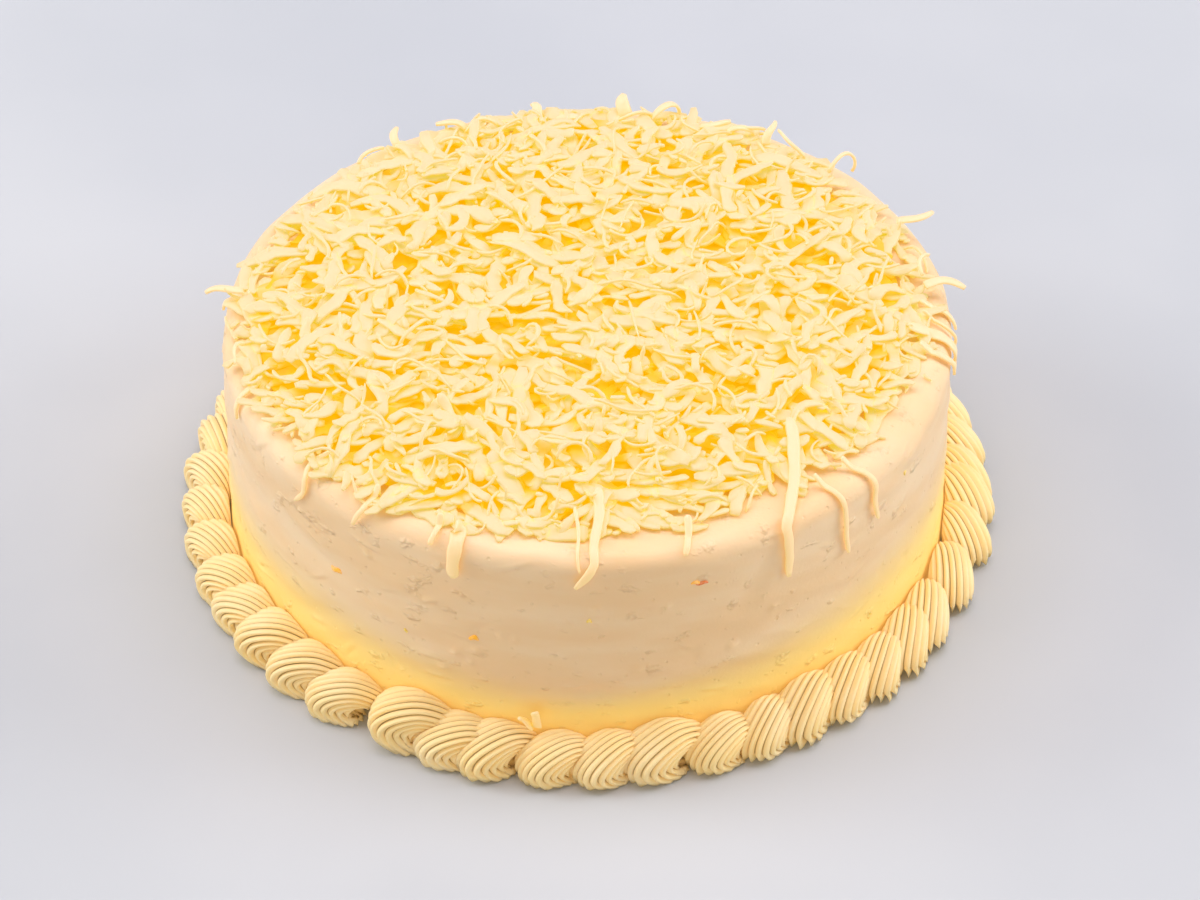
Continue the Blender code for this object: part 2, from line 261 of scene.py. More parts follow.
# Shreds that stand up: radius and angle of the foot, length, width, heading, first climb and the angle that
# the climb falls by, all angles in degrees
StandingShred = collections.namedtuple("StandingShred", "radius angle length width heading climb fall")
STANDING_SHREDS = tuple(StandingShred(*row) for row in (
    (0.104, 47.0, 0.016, 0.0012, 140.0, 62.0, 80.0),
    (0.103, 41.0, 0.022, 0.0014, 20.0, 75.0, 190.0),
    (0.100, 63.0, 0.015, 0.0012, 10.0, 55.0, 95.0),
    (0.099, 77.0, 0.016, 0.0011, 170.0, 50.0, 100.0),
    (0.098, 83.0, 0.009, 0.0052, 95.0, 70.0, 60.0),
    (0.098, 78.0, 0.020, 0.0030, 10.0, 80.0, 200.0),
    (0.100, 69.0, 0.012, 0.0028, 350.0, 35.0, 40.0),
    (0.099, 63.0, 0.016, 0.0026, 20.0, 75.0, 180.0),
    (0.101, 55.0, 0.010, 0.0030, 80.0, 60.0, 60.0),
    (0.098, 92.0, 0.010, 0.0030, 200.0, 40.0, 80.0),
    (0.098, 100.0, 0.009, 0.0034, 120.0, 50.0, 90.0),
    (0.099, 114.0, 0.012, 0.0030, 170.0, 45.0, 60.0),
    (0.102, 128.0, 0.010, 0.0030, 100.0, 50.0, 70.0),
    (0.104, 137.0, 0.014, 0.0013, 60.0, 50.0, 90.0),
    (0.098, 108.0, 0.014, 0.0012, 200.0, 45.0, 85.0),
    (0.097, 121.0, 0.013, 0.0010, 330.0, 55.0, 100.0),
    (0.108, 8.0, 0.014, 0.0012, 80.0, 45.0, 85.0),
    (0.110, 190.0, 0.013, 0.0012, 250.0, 45.0, 85.0),
    (0.107, 6.0, 0.015, 0.0040, -5.0, 12.0, 24.0),
    (0.108, 24.0, 0.014, 0.0036, 15.0, 25.0, 30.0),
    (0.110, 176.0, 0.014, 0.0034, 185.0, 15.0, 50.0),
))
SHREDS_ON_ROPE = tuple(StandingShred(*row) for row in (
    (0.1200, -97.4, 0.0115, 0.0034, 265.0, 100.0, 60.0),
    (0.1200, -98.0, 0.007, 0.0028, 200.0, 60.0, 20.0),
))

# Their steps, half their thickness, how much their heading sways, and how much they narrow to the tip
STANDING_STEPS = 14
STANDING_HALF_THICK = 0.0005
STANDING_SWAY = 0.5
STANDING_NARROWING = 0.6

# Kinds of shred: how many, ranges of length and width, thickness, greatest rates of bend in plan (curl), in
# height (arch) and about the spine (twist), greatest tilt, range of layers in the pile, steps and seed
ShredKind = collections.namedtuple(
    "ShredKind", "name count length width thickness curl arch twist tilt layers steps seed"
)
SHRED_KINDS = (
    ShredKind(
        "long_shreds", 480, (0.013, 0.031), (0.0042, 0.0066), 0.0009, 60, 50, 18, 0.10, (0.0, 1.0), 9, 21
    ),
    ShredKind(
        "curled_shreds", 760, (0.007, 0.017), (0.0028, 0.0050), 0.0009, 210, 120, 40, 0.28, (0.0, 1.1), 8, 22
    ),
    ShredKind(
        "thin_shreds", 420, (0.009, 0.024), (0.0008, 0.0016), 0.0008, 280, 140, 50, 0.36, (0.4, 1.3), 10, 23
    ),
    ShredKind(
        "cheese_bits", 480, (0.002, 0.005), (0.0010, 0.0024), 0.0009, 150, 200, 80, 0.7, (0.2, 1.1), 4, 24
    ),
)

# A strip's section: how far aside and over each corner lies, as shares of half its width and thickness
STRIP_CORNERS = ((-1.0, 0.0), (-0.72, -1.0), (0.72, -1.0), (1.0, 0.0), (0.72, 1.0), (-0.72, 1.0))

# Flecks in the wall's frosting: angle and height in degrees and metres, length, width, slant in degrees
Fleck = collections.namedtuple("Fleck", "angle height length width slant")
ORANGE_FLECKS = tuple(Fleck(*row) for row in (
    (-132.8, 0.0503, 0.0050, 0.0020, -8.0),
    (-107.5, 0.0458, 0.0034, 0.0020, -4.0),
    (-73.2, 0.0699, 0.0034, 0.0013, -10.0),
))
RED_FLECKS = (Fleck(-72.3, 0.0693, 0.0046, 0.0013, -14.0),)
YELLOW_FLECKS = tuple(Fleck(*row) for row in (
    (-39.6, 0.0225, 0.0024, 0.0018, 0.0),
    (-89.6, 0.0590, 0.0018, 0.0016, 0.0),
    (-31.0, 0.0700, 0.0018, 0.0014, 40.0),
    (-119.0, 0.0405, 0.0016, 0.0013, 0.0),
))
FLECK_THICKNESS = 0.0011
FLECK_STEPS = 7
FLECK_SIDES = 8

# Crumbs of cream on the wall, in the same measures
CREAM_CRUMBS = tuple(Fleck(*row) for row in (
    (-125.9, 0.0653, 0.0032, 0.0018, -40.0),
    (-103.2, 0.0492, 0.0032, 0.0030, 20.0),
    (-101.0, 0.0487, 0.0030, 0.0028, 10.0),
    (-107.2, 0.0410, 0.0032, 0.0022, 0.0),
    (-110.5, 0.0385, 0.0030, 0.0022, 30.0),
    (-108.0, 0.0360, 0.0026, 0.0020, 0.0),
    (-88.6, 0.0640, 0.0024, 0.0018, 15.0),
    (-82.0, 0.0375, 0.0044, 0.0026, 20.0),
    (-77.8, 0.0620, 0.0030, 0.0020, 40.0),
    (-112.5, 0.0305, 0.0032, 0.0020, -12.0),
    (-67.0, 0.0395, 0.0036, 0.0022, 16.0),
    (-92.0, 0.0315, 0.0060, 0.0018, 8.0),
    (-60.0, 0.0500, 0.0028, 0.0022, 30.0),
))

# The studio: half the floor's width, the sky's colour and strength, and each lamp's place, the point that
# it faces, its two sides, its power in watts and its colour
FLOOR_HALF = 3.0
SKY_COLOUR = (0.95, 0.97, 1.0, 1.0)
SKY_STRENGTH = 0.45
Lamp = collections.namedtuple("Lamp", "name place target sides power colour")
LAMPS = (
    Lamp("overhead", (0.0, 0.22, 1.5), (0.0, 0.0, 0.05), (1.6, 1.0), 13.5, (1.0, 0.88, 0.95)),
    Lamp("left", (-1.5, 0.2, 0.8), (0.0, 0.0, 0.04), (0.8, 1.2), 13.5, (0.97, 0.99, 0.97)),
    Lamp("right", (1.5, 0.2, 0.8), (0.0, 0.0, 0.04), (0.8, 1.2), 13.0, (0.97, 0.99, 1.0)),
    Lamp("front", (0.0, -1.9, 0.9), (0.0, 0.0, 0.04), (1.4, 0.6), 6.8, (1.0, 0.79, 0.33)),
)

# The camera, from the cake's own centre
CAMERA_TARGET = Vector((0.0038, 0.0115, 0.0162))
CAMERA_DISTANCE = 1.841
CAMERA_AZIMUTH = math.radians(0.02)
CAMERA_ELEVATION = math.radians(41.38)
CAMERA_ROLL = math.radians(0.29)
CAMERA_LENS = 168.4
SENSOR_WIDTH = 36.0


class CakeSizes(bpy.types.PropertyGroup):
    """The sizes that a user would change."""

    cake_radius: bpy.props.FloatProperty(
        name="Cake radius", description="Mean radius of the frosted wall", default=0.1158, unit="LENGTH"
    )
    cake_height: bpy.props.FloatProperty(
        name="Cake height", description="Height of the frosted top", default=CAKE_TOP, unit="LENGTH"
    )
    rim_fillet: bpy.props.FloatProperty(
        name="Rim", description="Mean radius of the rounded rim", default=0.006, unit="LENGTH"
    )
    border_radius: bpy.props.FloatProperty(
        name="Rope radius", description="Outer radius of the piped rope", default=0.1325, unit="LENGTH"
    )
    border_height: bpy.props.FloatProperty(
        name="Rope height", description="Height of a piped loop", default=0.0155, unit="LENGTH"
    )
    loop_count: bpy.props.IntProperty(
        name="Loops", description="Number of loops in the rope", default=47, min=30
    )
    heap_radius: bpy.props.FloatProperty(
        name="Heap radius", description="Mean radius of the cheese heap", default=0.1065, unit="LENGTH"
    )
    pile_height: bpy.props.FloatProperty(
        name="Pile height", description="Height of the loose shreds over their bed",
        default=0.0046, unit="LENGTH",
    )


class CakeColours(bpy.types.PropertyGroup):
    """The colours that a user would change."""

    frosting: bpy.props.FloatVectorProperty(
        name="Frosting", description="Colour of the frosting",
        default=(0.97, 0.68, 0.39), subtype="COLOR",
    )
    # Painted golden bounce light low on the wall near the rope, which also glows
    foot_bounce_light: bpy.props.FloatVectorProperty(
        name="Foot", description="Colour of the frosting near the rope",
        default=(1.0, 0.70, 0.22), subtype="COLOR",
    )
    piped: bpy.props.FloatVectorProperty(
        name="Piped cream", description="Colour of a ridge's crest",
        default=(1.0, 0.75, 0.37), subtype="COLOR",
    )
    # Painted shade in the grooves between the ridges; the whole rope also glows faintly in this colour
    groove: bpy.props.FloatVectorProperty(
        name="Grooves", description="Colour between two ridges",
        default=(0.52, 0.35, 0.12), subtype="COLOR",
    )
    shred: bpy.props.FloatVectorProperty(
        name="Shreds", description="Colour of the upper shreds",
        default=(0.46, 0.35, 0.38), subtype="COLOR",
    )
    # Painted yellow glow of the upper shreds, lifting their shade
    shred_painted_glow: bpy.props.FloatVectorProperty(
        name="Shred glow", description="Light inside the upper shreds",
        default=(0.47, 0.378, 0.0), subtype="COLOR",
    )
    # Palest tone of the cheese: heap shreds take up to a share of it at random, and the hanging and standing
    # shreds take it whole, a paler copy that lifts those hanging in dimmer light
    pale_and_lifted_shred: bpy.props.FloatVectorProperty(
        name="Loose shreds", description="Colour of the hanging shreds",
        default=(0.68, 0.52, 0.45), subtype="COLOR",
    )
    # Painted shade low in the heap and on the bed: a darker golden cheese
    shaded_deep_shred: bpy.props.FloatVectorProperty(
        name="Deep shreds", description="Colour of the low shreds",
        default=(0.42, 0.24, 0.02), subtype="COLOR",
    )
    # Painted golden glow low in the heap and on the bed
    deep_painted_glow: bpy.props.FloatVectorProperty(
        name="Deep glow", description="Light inside the low shreds",
        default=(0.62, 0.35, 0.0), subtype="COLOR",
    )
    orange_fleck: bpy.props.FloatVectorProperty(
        name="Orange flecks", description="Colour of the orange flecks",
        default=(0.95, 0.45, 0.03), subtype="COLOR",
    )
    red_fleck: bpy.props.FloatVectorProperty(
        name="Red fleck", description="Colour of the dark fleck",
        default=(0.66, 0.15, 0.004), subtype="COLOR",
    )
    yellow_fleck: bpy.props.FloatVectorProperty(
        name="Yellow flecks", description="Colour of the yellow flecks",
        default=(0.80, 0.55, 0.09), subtype="COLOR",
    )
    floor: bpy.props.FloatVectorProperty(
        name="Floor", description="Colour of the floor",
        default=(0.50, 0.53, 0.57), subtype="COLOR",
    )


def ring_angles(count):
    """Angles once round, evenly spaced, without the last one that would repeat the first."""
    return np.linspace(0.0, 2 * math.pi, count, endpoint=False)


def closed_shells(rings):
    """Closed shells from an array of shell, ring, side and coordinate.

    Neighbouring rings are joined by four-sided faces, and each end ring is closed by a fan of triangles
    round the mean of its points.
    """
    shells, count, sides = rings.shape[:3]
    index = np.arange(shells * count * sides).reshape(shells, count, sides)
    ahead = np.roll(index, -1, axis=2)
    quads = np.stack([index[:, :-1], ahead[:, :-1], ahead[:, 1:], index[:, 1:]], axis=-1).reshape(-1, 4)
    hubs = index.size + np.arange(2 * shells).reshape(2, shells, 1)
    hubs = np.broadcast_to(hubs, (2, shells, sides))
    first = np.stack([hubs[0], ahead[:, 0], index[:, 0]], axis=-1)
    last = np.stack([hubs[1], index[:, -1], ahead[:, -1]], axis=-1)
    fans = np.concatenate([first, last]).reshape(-1, 3)
    points = np.concatenate([rings.reshape(-1, 3), rings[:, 0].mean(axis=1), rings[:, -1].mean(axis=1)])
    return points, quads, fans


def facing_out(points, quads, fans):
    """The faces as they are, or all turned round if the volume that they close comes out negative."""
    corners = np.concatenate([quads[:, [0, 1, 2]], quads[:, [0, 2, 3]], fans])
    a, b, c = (points[corners[:, corner]] for corner in range(3))
    volume = (a * np.cross(b, c)).sum()
    if volume < 0:
        return quads[:, ::-1], fans[:, ::-1]
    return quads, fans


def make_piece(name, rings, finish, stands_for=(), marks=None):
    """A mesh object from rings and in place of CAD nodes, with marks at its points."""
    points, quads, fans = closed_shells(rings)
    quads, fans = facing_out(points, quads, fans)
    mesh = bpy.data.meshes.new(name)
    mesh.from_pydata(points.tolist(), [], quads.tolist() + fans.tolist())
    for mark, values in (marks or {}).items():
        layer = mesh.attributes.new(mark, "FLOAT", "POINT")
        ends = [values[:, 0].mean(axis=1), values[:, -1].mean(axis=1)]
        layer.data.foreach_set("value", np.concatenate([values.ravel(), *ends]))
    mesh.materials.append(finish)
    mesh.shade_smooth()
    piece = bpy.data.objects.new(name, mesh)
    bpy.context.scene.collection.objects.link(piece)
    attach(piece, "root")
    if stands_for:
        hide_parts(*stands_for)
    return piece


def slow_waves(angle, waves):
    """The sum of a few slow cosines of the angle, each with its own number of turns, height and crest."""
    return sum(size * np.cos(times * angle - crest) for times, size, crest in waves)


def wall_wave(angle):
    """How far the drum's wall stands out from its mean radius, by its slow waves."""
    return slow_waves(angle, WALL_WAVES)


def round_the_cake(radius, angle, height):
    """Points from their radius, angle and height."""
    return np.stack(np.broadcast_arrays(radius * np.cos(angle), radius * np.sin(angle), height), axis=-1)


def kept_above(value, floor, softness):
    """A value eased so that it never falls to a floor: the mean of a straight line and a hyperbola."""
    over = value - floor
    return floor + (over + np.sqrt(over**2 + softness**2)) / 2


def uneven(angle, path, draws, sheet):
    """A smooth uneven sheet over the wall and top.

    The sum of many cosines, divided by the root of half their number and times the sheet's height. Each
    runs a whole number of times round the cake, rises with the path up the wall at its own rate, and has
    its own start.
    """
    turns = draws.integers(sheet.times[0], sheet.times[1] + 1, sheet.cosines)
    signs = draws.choice([-1.0, 1.0], sheet.cosines)
    rates = signs * 2 * math.pi / draws.uniform(*sheet.wavelengths, sheet.cosines)
    starts = draws.uniform(0.0, 2 * math.pi, sheet.cosines)
    total = np.zeros(np.broadcast(angle, path).shape)
    for turn, rate, start in zip(turns, rates, starts):
        total += np.cos(turn * angle + rate * path + start)
    return sheet.height * (total / math.sqrt(sheet.cosines / 2))


def patch(angle, path, place, radius):
    """A bell-shaped patch on the wall: one at its middle, fading with the square of the distance."""
    along = ((angle - place.angle + math.pi) % (2 * math.pi) - math.pi) * radius
    up = path - place.path
    forward = along * math.cos(place.slant) + up * math.sin(place.slant)
    aside = up * math.cos(place.slant) - along * math.sin(place.slant)
    return np.exp(-((forward / place.half_length) ** 2) - (aside / place.half_width) ** 2)


def frosting_relief(angle, path, sizes):
    """How far the frosting stands out from its smooth form.

    Long level waves left by the palette knife, smaller uneven places, a slanting trough under the rim at
    the front right, dents and lumps as bell-shaped patches, smears as a thin lip of cream beside a shallow
    dent, and the crumbs of cream that the knife left standing.
    """
    draws = np.random.default_rng(3)
    radius = sizes.cake_radius
    relief = uneven(angle, path, draws, KNIFE_WAVES)
    relief += uneven(angle, path, draws, SMALL_WAVES)
    relief -= RIM_TROUGH_DEPTH * patch(angle, path, RIM_TROUGH, radius)
    relief += TROUGH_RIDGE_HEIGHT * patch(angle, path, TROUGH_RIDGE, radius)
    for _ in range(LUMPS):
        middle, height = draws.uniform(-math.pi, math.pi), draws.uniform(*MARKED_PATH)
        half_length, half_width = draws.uniform(*LUMP_HALF_LENGTHS), draws.uniform(*LUMP_HALF_WIDTHS)
        place = Patch(middle, height, half_length, half_width, draws.normal(0.0, LUMP_SLANT_SPREAD))
        relief += draws.uniform(*LUMP_HEIGHTS) * patch(angle, path, place, radius)
    for _ in range(SMEARS):
        middle, height = draws.uniform(-math.pi, math.pi), draws.uniform(*MARKED_PATH)
        half_length = draws.uniform(*SMEAR_HALF_LENGTHS)
        slant = draws.normal(SMEAR_SLANT, SMEAR_SLANT_SPREAD)
        lip = Patch(middle, height, half_length, LIP_HALF_WIDTH, slant)
        dent = Patch(middle, height - DENT_DROP, half_length, DENT_HALF_WIDTH, slant)
        size = draws.uniform(*SMEAR_HEIGHTS)
        dented = DENT_SHARE * size * patch(angle, path, dent, radius)
        relief += size * patch(angle, path, lip, radius) - dented
    for crumb in CREAM_CRUMBS:
        middle, slant = math.radians(crumb.angle), math.radians(crumb.slant)
        place = Patch(middle, crumb.height, crumb.length / 2, crumb.width / 2, slant)
        relief += CRUMB_HEIGHT * patch(angle, path, place, radius)
    return relief


def rim_radius(angle, sizes):
    """The rim's rounding: it swells and shrinks round the cake by slow waves, and is softest at the back."""
    slump = np.clip(np.sin(angle), 0.0, 1.0) ** 2
    return sizes.rim_fillet * (1.0 + slow_waves(angle, RIM_WAVES) + RIM_SLUMP * slump)


def frosting_rings(sizes):
    """The frosted drum as rings: underside, foot, wall, rounded rim and top, in rows of radius and height.

    The relief moves each point along its row's own outward direction, and fades towards the top's middle.
    The columns stand closer together in front, by a cosine of their angle.
    Returns the rings and how much painted golden bounce light each point takes, from 0 to 1: a band low on the
    wall, taller at the sides.
    """
    even = ring_angles(DRUM_COLUMNS)[None, :]
    angle = even - FRONT_CROWDING * np.cos(even)
    rim = rim_radius(angle, sizes)
    round_once = np.ones_like(angle)
    foot_radius = sizes.cake_radius - FOOT_CHAMFER
    rows = []

    def add_rows(radius, height, out, up, path):
        shape = np.broadcast(radius, round_once).shape
        rows.append([np.broadcast_to(part, shape) for part in (radius, height, out, up, path)])

    under = np.linspace(0.15, 1.0, UNDER_ROWS)[:, None]
    add_rows(foot_radius * under, 0.0, 0.0, 0.0, 0.0)
    climb = np.linspace(0.0, 1.0, WALL_ROWS)[:, None]
    wall_height = FOOT_CHAMFER + climb * (sizes.cake_height - rim - FOOT_CHAMFER)
    add_rows(sizes.cake_radius * np.ones_like(climb), wall_height, 1.0, 0.0, wall_height)
    turn = np.linspace(0.0, math.pi / 2, RIM_ROWS + 1)[1:, None]
    rim_height = sizes.cake_height - rim + rim * np.sin(turn)
    rim_path = sizes.cake_height - rim + rim * turn
    add_rows(sizes.cake_radius - rim + rim * np.cos(turn), rim_height, np.cos(turn), np.sin(turn), rim_path)
    share = np.linspace(1.0, 0.02, TOP_ROWS + 1)[1:, None]
    top_radius = (sizes.cake_radius - rim) * share
    top_path = sizes.cake_height + rim * (math.pi / 2 - 1) + (sizes.cake_radius - rim) * (1.0 - share)
    add_rows(top_radius, sizes.cake_height, 0.0, share**2, top_path)

    radius, height, out, up, path = (np.concatenate(column) for column in zip(*rows))
    relief = frosting_relief(angle, path, sizes)
    wave = wall_wave(angle) * (radius / sizes.cake_radius) ** 4
    rings = round_the_cake(radius + wave + relief * out, angle, height + relief * up)[None]
    # The mark for painted golden bounce light: a band low on the wall, taller at the sides
    side = np.abs(np.cos(angle))
    bounce_band_top = BOUNCE_BAND[0] + BOUNCE_BAND[1] * side
    fading = BOUNCE_FADE[0] + BOUNCE_FADE[1] * side
    foot = np.clip((bounce_band_top - path) / fading, 0.0, 1.0)
    return rings, foot[None]


def loop_places(sizes):
    """Angle, size and lean of each loop: the swirl, those on from it, even ones behind, those before it."""
    on = np.cumsum(TURNS_ON)
    back = -np.cumsum(TURNS_BACK)
    unseen_turns = sizes.loop_count - len(on) - len(back)
    behind = np.linspace(on[-1], 360.0 + back[-1], unseen_turns + 1)[1:-1]
    angles = SWIRL_ANGLE + np.radians(np.concatenate([[0.0], on, behind, back[::-1]]))
    draws = np.random.default_rng(11)
    scales = LOOP_SCALE + draws.uniform(-LOOP_SCALE_SPREAD, LOOP_SCALE_SPREAD, sizes.loop_count)
    scales[0] = SWIRL_SCALE
    leans = np.radians(LOOP_LEAN + draws.uniform(-LOOP_LEAN_SPREAD, LOOP_LEAN_SPREAD, sizes.loop_count))
    return angles, scales, leans


def loop_rings(sizes, chosen):
    """The chosen loops of the rope, each a ridged strand that fans up from the floor, arches over and dives.

    The strand turns about a pivot low inside the loop, in an upright plane that is turned from the ring
    towards the wall by the lean. Its section is an oval with squared corners, tapering with the turn, with
    a ridge for each tooth of the nozzle: a power of a cosine's size, which has round crests and sharp
    grooves. Before the turn it fans out below the pivot, the inner ridges swinging furthest, and each ridge
    ends near the floor in a point. The head and the tail are stretched along the ring.
    Returns the rings and how deep in a groove each point lies, from 0 to 1.
    """
    angle, scale, lean = (part[chosen][:, None, None] for part in loop_places(sizes))
    count = len(chosen)
    draws = np.random.default_rng(31)

    def each(low, high):
        return draws.uniform(low, high, (count, 1, 1))

    swirl = (chosen == 0)[:, None, None]
    tall = sizes.border_height * scale
    pivot_height = tall * np.where(swirl, SWIRL_PIVOT_SHARE, PIVOT_SHARE)
    arc = (tall - pivot_height) * ARC_SHARE
    half_thick = (tall - pivot_height) * HALF_THICK_SHARE
    half_wide = tall * HALF_WIDE_SHARE
    pivot_out = sizes.border_radius - half_wide * np.cos(lean)
    pivot_out = pivot_out - arc * HEAD_STRETCH * np.sin(lean) - tall * INSET_SHARE
    travel = np.linspace(0.0, 1.0, STRAND_STEPS)
    travel = np.concatenate([np.zeros(FAN_STEPS), travel])[None, :, None]
    fan = np.concatenate([np.linspace(1.0, 0.0, FAN_STEPS + 1)[:-1], np.zeros(STRAND_STEPS)])
    fan = fan[None, :, None]
    nozzle = ring_angles(RIDGES * POINTS_A_RIDGE)[None, None, :]
    crest = np.abs(np.cos(nozzle * RIDGES / 2))
    ridge = crest**CREST_POWER
    taper = 1.0 - NARROWING * travel**2
    tooth_size = 1.0 + TOOTH_SPREAD * np.cos(each(*ANY_START) + 3 * nozzle + 3.0 * travel)
    roll = nozzle + each(-ROLL_SPREAD, ROLL_SPREAD) + each(-TWIST_SPREAD, TWIST_SPREAD) * travel
    squared = np.abs(np.cos(roll)) ** SQUARENESS + np.abs(np.sin(roll)) ** SQUARENESS
    squared = squared ** (-1.0 / SQUARENESS)
    tooth = squared * (1.0 + RIDGE_DEPTH * tooth_size * (ridge - MEAN_RIDGE))
    outward = half_thick * taper * tooth * np.cos(roll)
    across = half_wide * taper * tooth * np.sin(roll)
    inner = (1.0 - np.cos(nozzle)) / 2
    ragged = 0.5 + 0.5 * np.cos(each(*ANY_START) + 7 * nozzle)
    whole_turn = np.where(swirl, SWIRL_TURN, each(*STRAND_TURNS))
    most_swing = np.where(swirl, SWIRL_SWING, each(*MOST_SWINGS))
    least_swing = np.where(swirl, SWIRL_LEAST_SWING, LEAST_SWING)
    swing = least_swing + (most_swing - least_swing) * inner**INNER_SWING_POWER
    point = np.arcsin(crest) * 2 / math.pi
    ending = 1.0 - (NOTCH_DEPTH + RAGGED_NOTCH * ragged) * (1.0 - point) - RAGGED_END * ragged
    turn = travel * whole_turn - swing * fan
    reach = kept_above(arc * taper + outward, 0.0, EYE_EASE)
    touch = pivot_height / np.sin(swing)
    reach = reach + (touch * ending - reach) * fan**FAN_POWER
    forward = -np.cos(turn) * reach
    head = np.clip(np.cos(turn), 0.0, 1.0)
    tail = np.clip(-np.cos(turn), 0.0, 1.0) * (fan == 0)
    forward = forward * (1.0 + (HEAD_STRETCH - 1.0) * head + (TAIL_STRETCH - 1.0) * tail)
    height = pivot_height + np.sin(turn) * reach
    forward = forward + LOOP_SHIFT
    along = forward * np.cos(lean) + across * np.sin(lean)
    out = pivot_out - forward * np.sin(lean) + across * np.cos(lean)
    out = kept_above(out, sizes.cake_radius + GAP, WALL_EASE)
    height = kept_above(height, LOWEST_CREAM, FLOOR_EASE)
    turned_by = angle + along / sizes.cake_radius
    rings = round_the_cake(out + wall_wave(turned_by), turned_by, height)
    # The rope's finish paints shade in the grooves by this mark
    groove = np.broadcast_to(1.0 - ridge, rings.shape[:3])
    return rings, groove


def heap_edge(angle, sizes):
    """The heap's outline: widest at the cake's left, and a little further out behind and at the right."""
    away = angle - HEAP_WIDEST
    behind = np.clip(np.sin(angle), 0.0, 1.0) ** 2
    right = np.clip(np.cos(angle + 0.3), 0.0, 1.0) ** 6
    edge = sizes.heap_radius + HEAP_SHIFT * np.cos(away) + HEAP_STRETCH * np.cos(2 * away)
    return edge + HEAP_REACH * (behind + right)


def kept_height(share, angle):
    """How much of its height the loose pile keeps: it falls off early in front and late at the back."""
    fall = PILE_FALL - PILE_FALL_BEHIND * np.clip(np.sin(angle) + 0.2, 0.0, 1.0)
    return np.clip((PILE_END - share) / fall, PILE_LEAST, 1.0) ** PILE_ROUNDING


def bed_top(x, y, sizes):
    """How high the bed stands over the frosting.

    Sums of sines make bumps as wide as a shred and smaller crumbs. It slopes down near its outline, most in
    front.
    """
    angle = np.arctan2(y, x)
    share = np.hypot(x, y) / (heap_edge(angle, sizes) - BED_INSET)
    fall = BED_SLOPE + BED_SLOPE_IN_FRONT * np.clip(-np.sin(angle), 0.0, 1.0)
    slope = 1.0 - fall * np.clip((share - BED_SLOPE_START) / (1.0 - BED_SLOPE_START), 0.0, 1.4)
    bumps = np.sin(150 * x + 1.3) * np.cos(130 * y) + 0.6 * np.sin(100 * (x + y)) * np.cos(110 * (x - y))
    crumbs = np.sin(900 * x + 2 * np.sin(300 * y)) * np.cos(870 * y + 2 * np.sin(280 * x))
    return (BED_HEIGHT + BED_BUMPS * bumps + BED_CRUMBS * crumbs) * slope * (share < 1.0)


def bed_rings(sizes):
    """The bed under the shreds: rings from its underside's middle out to its edge and back over its top."""
    angle = ring_angles(BED_COLUMNS)[None, :]
    reach = heap_edge(angle, sizes) - BED_INSET
    under = reach * np.linspace(0.05, 0.97, 4)[:, None]
    over = reach * np.linspace(0.999, 0.01, BED_ROWS)[:, None]
    lowest = np.full(under.shape, sizes.cake_height - 0.001)
    top = sizes.cake_height + bed_top(over * np.cos(angle), over * np.sin(angle), sizes)
    return round_the_cake(np.concatenate([under, over]), angle, np.concatenate([lowest, top]))[None]


def strip_rings(spine, across, up, half_width, half_thick):
    """Flat shreds from their spines: a flat six-sided section of the given half sizes carried along each.

    The arrays have shred, step and coordinate, and the half sizes have shred and step.
    """
    wide = across * half_width[..., None]
    thick = up * half_thick[..., None]
    corners = [spine + wide * aside + thick * over for aside, over in STRIP_CORNERS]
    return np.stack(corners, axis=2)


def unit(vectors):
    """The same vectors with a length of one."""
    return vectors / np.maximum(np.linalg.norm(vectors, axis=-1, keepdims=True), 1e-12)


def pointing(climb, heading):
    """Vectors one long that climb and head by the given angles."""
    level = np.cos(climb)
    return np.stack([level * np.cos(heading), level * np.sin(heading), np.sin(climb)], axis=-1)


def level_across(heading):
    """Level vectors one long that point to the left of the headings."""
    return np.stack([-np.sin(heading), np.cos(heading), np.zeros_like(heading)], axis=-1)


